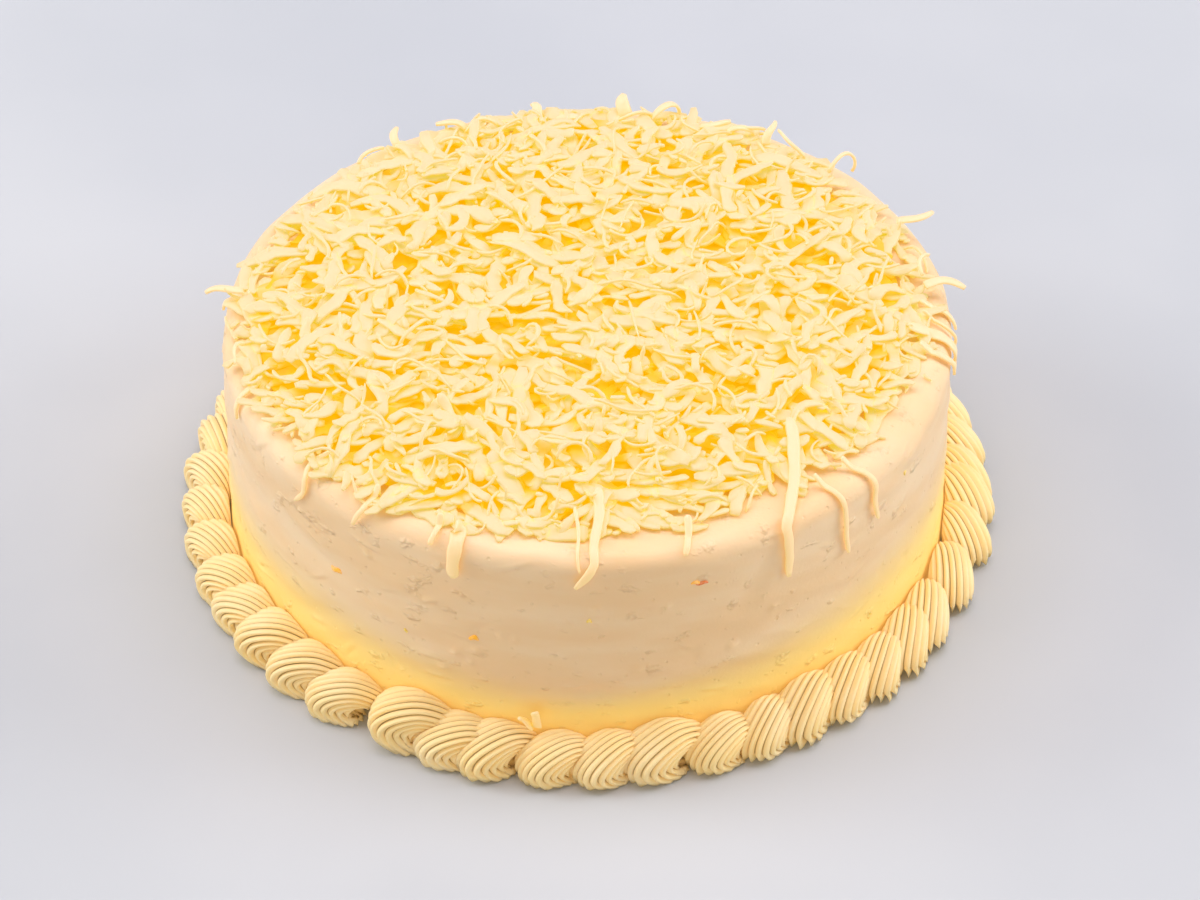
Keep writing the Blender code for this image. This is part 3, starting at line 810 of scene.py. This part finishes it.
def shred_rings(kind, sizes):
    """The loose shreds of one kind, how far up in the pile each point lies, and how pale each shred is.

    Middles lie by the sunflower's rule, jittered. A shred is walked from one end to the other: its heading,
    its climb and its roll each change at a steady rate, and the running sum of its steps is its spine. It
    rests at its own layer of the pile, over the bed and the frosting, and is moved in where it would pass
    the outline.
    """
    draws = np.random.default_rng(kind.seed)

    def each(low, high):
        return draws.uniform(low, high, (kind.count, 1))

    number = np.arange(kind.count)[:, None]
    angle = number * GOLDEN_TURN + each(-TURN_JITTER, TURN_JITTER)
    reach = np.sqrt((number + 0.5) / kind.count) * heap_edge(angle, sizes)
    reach = reach + each(-MIDDLE_JITTER, MIDDLE_JITTER)
    length = each(*kind.length)
    width = each(*kind.width)
    walk = np.linspace(-0.5, 0.5, kind.steps + 1)[None, :] * length
    heading = each(0, 2 * math.pi) + each(-1, 1) ** 3 * kind.curl * walk
    heading = heading + SWAY * np.sin(each(*ANY_START) + walk * each(*SWAY_RATES))
    climb = each(-1, 1) ** 3 * kind.tilt + each(-1, 1) * kind.arch * walk
    roll = each(-SHRED_ROLL, SHRED_ROLL) + each(-1, 1) * kind.twist * walk
    direction = pointing(climb, heading)
    stride = (length / kind.steps)[..., None]
    spine = np.cumsum(direction, axis=1) * stride
    spine -= spine.mean(axis=1, keepdims=True)
    level = level_across(heading)
    over = np.cross(direction, level)
    across = level * np.cos(roll)[..., None] + over * np.sin(roll)[..., None]
    up = np.cross(direction, across)

    middle = np.concatenate([reach * np.cos(angle), reach * np.sin(angle)], axis=1)[:, None, :]
    plan = spine[..., :2] + middle
    radius = np.hypot(plan[..., 0], plan[..., 1])
    edge = heap_edge(np.arctan2(plan[..., 1], plan[..., 0]), sizes) + each(*EDGE_JITTER)
    excess = np.maximum(radius - edge, 0.0).max(axis=1)
    plan -= unit(middle) * excess[:, None, None]
    around = np.arctan2(plan[..., 1], plan[..., 0])
    share = np.hypot(plan[..., 0], plan[..., 1]) / heap_edge(around, sizes)
    slope = kept_height(share, around)
    floor = sizes.cake_height + bed_top(plan[..., 0], plan[..., 1], sizes)
    layer = each(*kind.layers)
    rest = floor.mean(axis=1, keepdims=True) + layer * sizes.pile_height * slope
    height = kept_above(rest + spine[..., 2], floor + kind.thickness * LEAST_CLEARANCE, LAYER_EASE)
    spine = np.concatenate([plan, height[..., None]], axis=-1)

    share_of_length = 2 * walk / length
    blunt = (1.0 - np.abs(share_of_length) ** each(*BLUNT_POWERS)) * BLUNT_SHARE + (1.0 - BLUNT_SHARE)
    skew = 1.0 - each(0.0, MOST_SKEW) * (0.5 + 0.5 * share_of_length)
    ragged = 1.0 + RAGGED_EDGE * np.sin(each(*ANY_START) + walk * each(*RAGGED_RATES))
    half_width = width / 2 * blunt * skew * ragged
    half_thick = np.full_like(half_width, kind.thickness / 2) * (0.5 + 0.5 * blunt)
    rings = strip_rings(spine, across, up, half_width, half_thick)
    # How far up in the pile each point lies, which the finish turns into painted shade low in the heap; the
    # outline, open to the light, stays pale
    in_pile = (height - floor) / (sizes.pile_height * slope)
    in_open = np.clip((share - OPEN_START) / OPEN_WIDTH, 0.0, 1.0)
    depth = np.clip(np.maximum(in_pile, in_open), 0.0, 1.3)
    tone = np.broadcast_to(each(0, PALEST_TONE), depth.shape)
    depth, tone = (np.repeat(mark[..., None], len(STRIP_CORNERS), axis=2) for mark in (depth, tone))
    return rings, depth, tone


def standing_rings(shreds, foot_height):
    """The few shreds that stand up from their feet at one height, as one array of rings.

    Each keeps its heading, with a small sway, while its climb falls evenly.
    """
    share = np.linspace(0.0, 1.0, STANDING_STEPS)[None, :]
    columns = (np.array(column)[:, None] for column in zip(*shreds))
    radius, angle, length, width, heading, climb, fall = columns
    angle, heading, climb, fall = (np.radians(value) for value in (angle, heading, climb, fall))
    heading = heading + STANDING_SWAY * np.sin(4.0 * share + 9.0 * angle)
    direction = pointing(climb - fall * share, heading)
    foot = round_the_cake(radius, angle, foot_height)
    spine = foot + np.cumsum(direction, axis=1) * (length / STANDING_STEPS)[..., None]
    across = level_across(heading)
    half_width = width / 2 * (1.0 - STANDING_NARROWING * share**3)
    half_thick = np.full_like(half_width, STANDING_HALF_THICK)
    return strip_rings(spine, across, np.cross(direction, across), half_width, half_thick)


def hanging_rings(sizes):
    """The shreds that hang over the rim, as one array of rings.

    Each spine runs out over the frosting, round the rim at a small distance and down the wall to the height
    of its tip, with its angle moved evenly along each stretch. Its flat side faces the frosting, and a slow
    wave makes it a little uneven.
    """
    centre = sizes.cake_radius - sizes.rim_fillet
    drop = sizes.cake_height - sizes.rim_fillet
    over = sizes.rim_fillet + STAND_OFF
    draws = np.random.default_rng(41)
    parts = []
    for shred in HANGING_SHREDS:
        last_turn = math.asin(min(max((shred.tip - drop) / over, 0.0), 1.0))
        turn = np.linspace(math.pi / 2, last_turn, RIM_STEPS)
        rim_path = centre + over * np.cos(turn)
        radius = np.concatenate([[shred.start_radius], rim_path, rim_path[-1:]])
        inside = max(sizes.heap_radius - shred.start_radius, 0.0)
        start = sizes.cake_height + START_HEIGHT + START_RISE * inside
        height = np.concatenate([[start], drop + over * np.sin(turn), [shred.tip]])
        facing = np.concatenate([[math.pi / 2], turn, [last_turn]])
        knot = np.concatenate([[0.0], np.cumsum(np.hypot(np.diff(radius), np.diff(height)))])
        on_rim = knot[RIM_STEPS // 2 + 1]
        walk = np.linspace(0.0, knot[-1], HANGING_STEPS)
        bearings = [shred.start_angle, shred.rim_angle, shred.tip_angle]
        angle = np.radians(np.interp(walk, [0.0, on_rim, knot[-1]], bearings))
        wobble = draws.uniform(*ANY_START, 2)
        out = np.interp(walk, knot, radius) + wall_wave(angle)
        out = out + HANGING_RIPPLE * np.sin(walk * 500 + wobble[0])
        angle = angle + shred.wave * np.sin(walk * 320 + wobble[1])
        spine = round_the_cake(out, angle, np.interp(walk, knot, height))
        tilt = np.interp(walk, knot, facing)
        forward = np.gradient(spine, axis=0)
        across = unit(np.cross(pointing(tilt, angle), forward))
        up = unit(np.cross(forward, across))
        along = walk / knot[-1]
        frayed = 1.0 + HANGING_FRAY * np.sin(walk * 900 + wobble[0])
        blunt = 1.0 - 0.5 * np.abs(2 * along - 1) ** 16
        half_width = shred.width / 2 * frayed * (1.0 - HANGING_NARROWING * along) * blunt
        half_thick = np.full(HANGING_STEPS, HANGING_HALF_THICK)
        parts.append(strip_rings(spine[None], across[None], up[None], half_width[None], half_thick[None]))
    return np.concatenate(parts)


def fleck_rings(flecks, sizes):
    """Flecks on the wall: flattened beans, each an oval carried along a short bent line in the frosting."""
    share = np.linspace(-0.96, 0.96, FLECK_STEPS)
    swell = np.sqrt(1.0 - share**2)
    around = ring_angles(FLECK_SIDES)
    parts = []
    for number, fleck in enumerate(flecks):
        slant = math.radians(fleck.slant)
        bend = 0.25 * fleck.width * np.sin(3 * share + number)
        aside = (fleck.width / 2) * swell[:, None] * np.cos(around) + bend[:, None]
        forward = np.broadcast_to((fleck.length / 2 * share)[:, None], aside.shape)
        along = forward * math.cos(slant) - aside * math.sin(slant)
        up = forward * math.sin(slant) + aside * math.cos(slant)
        angle = math.radians(fleck.angle) + along / sizes.cake_radius
        height = fleck.height + up
        wall = sizes.cake_radius + wall_wave(angle) + frosting_relief(angle, height, sizes)
        radius = wall + FLECK_THICKNESS / 2 * swell[:, None] * np.sin(around)
        parts.append(round_the_cake(radius, angle, height)[None])
    return np.concatenate(parts)


def new_finish(name, roughness, subsurface=0.0, radius=(0.004, 0.002, 0.0008)):
    """A material with its shader. Values that are the same all over the surface are set on the sockets."""
    finish = bpy.data.materials.new(name)
    finish.use_nodes = True
    shader = finish.node_tree.nodes["Principled BSDF"]
    shader.inputs["Roughness"].default_value = roughness
    shader.inputs["Specular IOR Level"].default_value = 0.35
    shader.inputs["Subsurface Weight"].default_value = subsurface
    shader.inputs["Subsurface Radius"].default_value = tuple(value / max(radius) for value in radius)
    shader.inputs["Subsurface Scale"].default_value = max(radius)
    return finish, finish.node_tree, shader


def add_node(tree, kind, settings=None, inputs=None):
    """A node of a kind, with its settings and the values of its unlinked inputs."""
    node = tree.nodes.new(kind)
    for name, value in (settings or {}).items():
        setattr(node, name, value)
    for name, value in (inputs or {}).items():
        node.inputs[name].default_value = value
    return node


def object_noise(tree, scale, detail=2.0, stretch=(1.0, 1.0, 1.0)):
    """Noise over the piece's own object coordinates. Returns its grey output."""
    place = add_node(tree, "ShaderNodeTexCoord")
    mapping = add_node(tree, "ShaderNodeMapping", inputs={"Scale": stretch})
    noise = add_node(tree, "ShaderNodeTexNoise", inputs={"Scale": scale, "Detail": detail})
    tree.links.new(place.outputs["Object"], mapping.inputs["Vector"])
    tree.links.new(mapping.outputs["Vector"], noise.inputs["Vector"])
    return noise.outputs[0]


def mapped(tree, source, low, high):
    """How far a value has come from low to high, from 0 to 1, clamped, with eased ends."""
    span = {"From Min": low, "From Max": high}
    node = add_node(tree, "ShaderNodeMapRange", {"interpolation_type": "SMOOTHSTEP"}, span)
    tree.links.new(source, node.inputs["Value"])
    return node.outputs["Result"]


def mixed(tree, factor, first, second):
    """A mix of two colours. Each is a colour or the output of another node."""
    node = add_node(tree, "ShaderNodeMix", {"data_type": "RGBA"})
    tree.links.new(factor, node.inputs[0])
    for socket, colour in ((6, first), (7, second)):
        if isinstance(colour, bpy.types.NodeSocket):
            tree.links.new(colour, node.inputs[socket])
        else:
            node.inputs[socket].default_value = (*colour, 1.0)
    return node.outputs[2]


def marked(tree, name):
    """A value that the mesh carries at its points."""
    return add_node(tree, "ShaderNodeAttribute", {"attribute_name": name}).outputs["Fac"]


def bumped(tree, shader, source, distance, strength=1.0, before=None):
    """Fine relief in the shading from a grey value. Returns its output, for the next bump to build on."""
    bump = add_node(tree, "ShaderNodeBump", inputs={"Strength": strength, "Distance": distance})
    tree.links.new(source, bump.inputs["Height"])
    if before is not None:
        tree.links.new(before, bump.inputs["Normal"])
    tree.links.new(bump.outputs["Normal"], shader.inputs["Normal"])
    return bump.outputs["Normal"]


def coloured(tree, shader, colour, glow, strength):
    """Feed a shader its colour and its glow, each the output of another node, and the strength of the glow."""
    tree.links.new(colour, shader.inputs["Base Color"])
    tree.links.new(glow, shader.inputs["Emission Color"])
    shader.inputs["Emission Strength"].default_value = strength


def pale(colour, share):
    """A colour moved a share of the way to white."""
    return tuple(part + (1.0 - part) * share for part in colour)


def dark(colour, share):
    """A colour made darker by a share, blue first and red last."""
    return tuple(part * (1.0 - share * weight) for part, weight in zip(colour, (0.6, 1.0, 1.3)))


def frosting_finish(colours):
    """Buttercream: faint level bands of tone, painted golden bounce light near the rope that also glows, fine
    grain and pinholes.
    """
    reach = (0.003, 0.0022, 0.0014)
    finish, tree, shader = new_finish("frosting_cream", roughness=0.55, subsurface=0.25, radius=reach)
    level_noise = object_noise(tree, scale=18.0, detail=3.0, stretch=(1.0, 1.0, 4.0))
    bands = mapped(tree, level_noise, low=0.35, high=0.68)
    tone = mixed(tree, bands, dark(colours.frosting, 0.05), pale(colours.frosting, 0.10))
    # Painted bounce light: the foot mark, made uneven by noise, mixes in the golden colour, and its lowest
    # part glows
    uneven_bounce = add_node(tree, "ShaderNodeMath", {"operation": "MULTIPLY_ADD"}, {1: 0.5})
    tree.links.new(object_noise(tree, scale=14.0), uneven_bounce.inputs[0])
    tree.links.new(marked(tree, "foot"), uneven_bounce.inputs[2])
    foot = mapped(tree, uneven_bounce.outputs[0], low=0.25, high=1.25)
    low_bounce = mapped(tree, uneven_bounce.outputs[0], low=0.55, high=1.4)
    glow = mixed(tree, low_bounce, (0.0, 0.0, 0.0), colours.foot_bounce_light)
    coloured(tree, shader, mixed(tree, foot, tone, colours.foot_bounce_light), glow, strength=0.16)
    fine = object_noise(tree, scale=900.0, detail=3.0)
    grain = bumped(tree, shader, fine, distance=0.0002, strength=0.35)
    pinholes = add_node(tree, "ShaderNodeTexVoronoi", {"feature": "F1"}, {"Scale": 190.0})
    place = add_node(tree, "ShaderNodeTexCoord")
    tree.links.new(place.outputs["Object"], pinholes.inputs["Vector"])
    holes = mapped(tree, pinholes.outputs["Distance"], low=0.03, high=0.14)
    pitted = bumped(tree, shader, holes, distance=0.0005, strength=0.5, before=grain)
    coarse = object_noise(tree, scale=120.0, detail=3.0, stretch=(1.0, 1.0, 1.6))
    smears = mapped(tree, coarse, low=0.60, high=0.78)
    bumped(tree, shader, smears, distance=0.0013, strength=0.7, before=pitted)
    return finish


def piped_finish(colours):
    """Piped cream: pale on the crests, painted shade in the grooves as a darker golden colour, a faint painted
    glow all over in that colour, and a soft grain.
    """
    reach = (0.0020, 0.0016, 0.0010)
    finish, tree, shader = new_finish("piped_cream", roughness=0.45, subsurface=0.2, radius=reach)
    patches = mapped(tree, object_noise(tree, scale=60.0, detail=3.0), low=0.35, high=0.7)
    crest = mixed(tree, patches, colours.piped, pale(colours.piped, 0.12))
    # Painted shade: the grooves take the darker golden colour, and the whole rope glows faintly in it as
    # painted warm light
    groove = mapped(tree, marked(tree, "groove"), low=0.4, high=1.0)
    glow = mixed(tree, groove, colours.groove, dark(colours.groove, 0.4))
    coloured(tree, shader, mixed(tree, groove, crest, colours.groove), glow, strength=0.10)
    bumped(tree, shader, object_noise(tree, scale=700.0, detail=3.0), distance=0.0002, strength=0.35)
    return finish


def cheese_finish(name, colours, deep_only=False):
    """Grated cheese: pale shreds on top, and painted shade lower in the heap as darker golden ones, with a
    faint grain along them.

    Each colour has a painted yellow glow of its own that lifts the shade, standing in for light that has
    passed through the cheese.
    """
    reach = (0.0012, 0.0010, 0.0008)
    finish, tree, shader = new_finish(name, roughness=0.42, subsurface=0.4, radius=reach)
    if deep_only:
        # The bed: painted shade in the darker golden colour with its painted glow, mottled by noise
        patches = mapped(tree, object_noise(tree, scale=160.0), low=0.35, high=0.65)
        colour = mixed(tree, patches, colours.shaded_deep_shred, dark(colours.shaded_deep_shred, 0.1))
        glow = mixed(tree, patches, colours.deep_painted_glow, dark(colours.deep_painted_glow, 0.1))
    else:
        # The tone mark mixes in the palest tone, which is also the lifted copy for the shreds off the heap,
        # and dims the painted glow with it
        tone = mixed(tree, marked(tree, "tone"), colours.shred, colours.pale_and_lifted_shred)
        light = mixed(tree, marked(tree, "tone"), colours.shred_painted_glow, dark(colours.shred_painted_glow, 0.3))
        # Painted shade: low in the pile the shreds take the darker golden colour and its glow
        depth = mapped(tree, marked(tree, "depth"), low=0.18, high=0.55)
        colour = mixed(tree, depth, colours.shaded_deep_shred, tone)
        glow = mixed(tree, depth, colours.deep_painted_glow, light)
    coloured(tree, shader, colour, glow, strength=1.0)
    bumped(tree, shader, object_noise(tree, scale=1100.0), distance=0.0002, strength=0.3)
    return finish


def fleck_finish(name, colour):
    """A fleck: its colour, mottled, with a faint painted glow of the same colour that stands in for light
    passing through.
    """
    finish, tree, shader = new_finish(name, roughness=0.5, subsurface=0.1)
    mottle = mapped(tree, object_noise(tree, scale=900.0), low=0.35, high=0.65)
    tone = mixed(tree, mottle, colour, pale(colour, 0.15))
    # Painted glow in the fleck's own colour
    coloured(tree, shader, tone, tone, strength=0.2)
    return finish


def floor_finish(colours):
    """The studio floor: pale and matt, with a faint cloudy tone."""
    finish, tree, shader = new_finish("pale_floor", roughness=0.8)
    clouds = mapped(tree, object_noise(tree, scale=3.0, detail=4.0), low=0.3, high=0.7)
    tone = mixed(tree, clouds, colours.floor, pale(colours.floor, 0.15))
    tree.links.new(tone, shader.inputs["Base Color"])
    return finish


class CAKE_OT_frost_drum(bpy.types.Operator):
    """Spread the frosting over the drum, with a rounded uneven rim"""

    bl_idname = "cake.frost_drum"
    bl_label = "Frost the drum"

    def execute(self, context):
        sizes = context.scene.cake_sizes
        rings, foot = frosting_rings(sizes)
        finish = frosting_finish(context.scene.cake_colours)
        # The foot mark carries the band of painted golden bounce light
        make_piece("frosting", rings, finish, ("cake",), {"foot": foot})
        return {"FINISHED"}


class CAKE_OT_pipe_rope(bpy.types.Operator):
    """Pipe the rope of loops round the foot of the cake"""

    bl_idname = "cake.pipe_rope"
    bl_label = "Pipe the rope"

    def execute(self, context):
        sizes = context.scene.cake_sizes
        finish = piped_finish(context.scene.cake_colours)
        half = FRONT_LOOPS // 2
        order = np.roll(np.arange(sizes.loop_count), half)
        for name, chosen in (
            ("piped_rope_front", order[:FRONT_LOOPS]),
            ("piped_rope_back", order[FRONT_LOOPS:]),
        ):
            rings, groove = loop_rings(sizes, chosen)
            make_piece(name, rings, finish, ("piped_border",), {"groove": groove})
        return {"FINISHED"}


class CAKE_OT_lay_bed(bpy.types.Operator):
    """Lay the bed that shows between the shreds: a sheet of painted shade in a darker golden cheese, with a
    painted glow
    """

    bl_idname = "cake.lay_bed"
    bl_label = "Lay the bed"

    def execute(self, context):
        sizes = context.scene.cake_sizes
        finish = cheese_finish("golden_cheese_shade", context.scene.cake_colours, deep_only=True)
        make_piece("cheese_bed", bed_rings(sizes), finish, ("grated_cheese",))
        return {"FINISHED"}


class CAKE_OT_scatter_shreds(bpy.types.Operator):
    """Scatter the shreds and bits of cheese over the bed, and hang some over the rim"""

    bl_idname = "cake.scatter_shreds"
    bl_label = "Scatter the cheese"

    def execute(self, context):
        sizes = context.scene.cake_sizes
        finish = cheese_finish("grated_cheese", context.scene.cake_colours)
        for kind in SHRED_KINDS:
            rings, depth, tone = shred_rings(kind, sizes)
            marks = {"depth": depth, "tone": tone}
            make_piece(kind.name, rings, finish, ("grated_cheese",), marks)
        for name, rings in (
            ("hanging_shreds", hanging_rings(sizes)),
            ("standing_shreds", standing_rings(STANDING_SHREDS, sizes.cake_height + BED_HEIGHT)),
            ("shreds_on_rope", standing_rings(SHREDS_ON_ROPE, sizes.border_height)),
        ):
            # These take no painted depth shade, and the whole paler, lifted copy of the cheese
            marks = {"depth": np.ones(rings.shape[:3]), "tone": np.ones(rings.shape[:3])}
            make_piece(name, rings, finish, ("grated_cheese",), marks)
        return {"FINISHED"}


class CAKE_OT_add_flecks(bpy.types.Operator):
    """Press the orange, red and yellow flecks into the wall's frosting"""

    bl_idname = "cake.add_flecks"
    bl_label = "Add the flecks"

    def execute(self, context):
        sizes = context.scene.cake_sizes
        colours = context.scene.cake_colours
        for name, flecks, colour in (
            ("orange_flecks", ORANGE_FLECKS, colours.orange_fleck),
            ("red_fleck", RED_FLECKS, colours.red_fleck),
            ("yellow_flecks", YELLOW_FLECKS, colours.yellow_fleck),
        ):
            make_piece(name, fleck_rings(flecks, sizes), fleck_finish(name, colour))
        return {"FINISHED"}


def area_light(lamp):
    """A soft rectangular light at the lamp's place, turned towards its target."""
    light = bpy.data.lights.new(lamp.name, "AREA")
    light.shape = "RECTANGLE"
    light.size, light.size_y = lamp.sides
    light.energy = lamp.power
    light.color = lamp.colour
    holder = bpy.data.objects.new(lamp.name, light)
    holder.location = lamp.place
    facing = Vector(lamp.target) - Vector(lamp.place)
    holder.rotation_euler = facing.to_track_quat("-Z", "Y").to_euler()
    bpy.context.scene.collection.objects.link(holder)


class CAKE_OT_set_stage(bpy.types.Operator):
    """Set the floor, the soft studio lights and the camera"""

    bl_idname = "cake.set_stage"
    bl_label = "Set the stage"

    def execute(self, context):
        scene = context.scene
        corners = [(x * FLOOR_HALF, y * FLOOR_HALF, 0) for x, y in ((-1, -1), (1, -1), (1, 1), (-1, 1))]
        mesh = bpy.data.meshes.new("floor")
        mesh.from_pydata(corners, [], [(0, 1, 2, 3)])
        mesh.materials.append(floor_finish(scene.cake_colours))
        floor = bpy.data.objects.new("floor", mesh)
        scene.collection.objects.link(floor)

        for lamp in LAMPS:
            area_light(lamp)

        world = bpy.data.worlds.new("studio")
        world.use_nodes = True
        background = world.node_tree.nodes["Background"]
        background.inputs["Color"].default_value = SKY_COLOUR
        background.inputs["Strength"].default_value = SKY_STRENGTH
        scene.world = world
        scene.view_settings.view_transform = "Standard"

        camera = bpy.data.objects.new("camera", bpy.data.cameras.new("camera"))
        camera.data.sensor_width = SENSOR_WIDTH
        camera.data.lens = CAMERA_LENS
        back = Vector((
            math.sin(CAMERA_AZIMUTH) * math.cos(CAMERA_ELEVATION),
            -math.cos(CAMERA_AZIMUTH) * math.cos(CAMERA_ELEVATION),
            math.sin(CAMERA_ELEVATION),
        ))
        aim = (-back).to_track_quat("-Z", "Y").to_matrix().to_4x4()
        roll = Matrix.Rotation(CAMERA_ROLL, 4, "Z")
        camera.matrix_world = Matrix.Translation(CAMERA_TARGET + back * CAMERA_DISTANCE) @ aim @ roll
        scene.collection.objects.link(camera)
        scene.camera = camera
        return {"FINISHED"}


class CAKE_PT_maker(bpy.types.Panel):
    """Lists the cake's sizes, colours and making steps."""

    bl_idname = "CAKE_PT_maker"
    bl_label = "Custard Cake"
    bl_space_type = "VIEW_3D"
    bl_region_type = "UI"
    bl_category = "Cake"

    def draw(self, context):
        for group in (context.scene.cake_sizes, context.scene.cake_colours):
            box = self.layout.box()
            for name in group.__annotations__:
                box.prop(group, name)
        for step in OPERATORS:
            self.layout.operator(step.bl_idname)


OPERATORS = (
    CAKE_OT_frost_drum,
    CAKE_OT_pipe_rope,
    CAKE_OT_lay_bed,
    CAKE_OT_scatter_shreds,
    CAKE_OT_add_flecks,
    CAKE_OT_set_stage,
)
CLASSES = (CakeSizes, CakeColours, *OPERATORS, CAKE_PT_maker)


def register():
    for made in CLASSES:
        bpy.utils.register_class(made)
    bpy.types.Scene.cake_sizes = bpy.props.PointerProperty(type=CakeSizes)
    bpy.types.Scene.cake_colours = bpy.props.PointerProperty(type=CakeColours)


def unregister():
    del bpy.types.Scene.cake_colours
    del bpy.types.Scene.cake_sizes
    for made in reversed(CLASSES):
        bpy.utils.unregister_class(made)


def main():
    register()
    bpy.ops.cake.frost_drum()
    bpy.ops.cake.pipe_rope()
    bpy.ops.cake.lay_bed()
    bpy.ops.cake.scatter_shreds()
    bpy.ops.cake.add_flecks()
    bpy.ops.cake.set_stage()


if __name__ == "__main__":
    main()
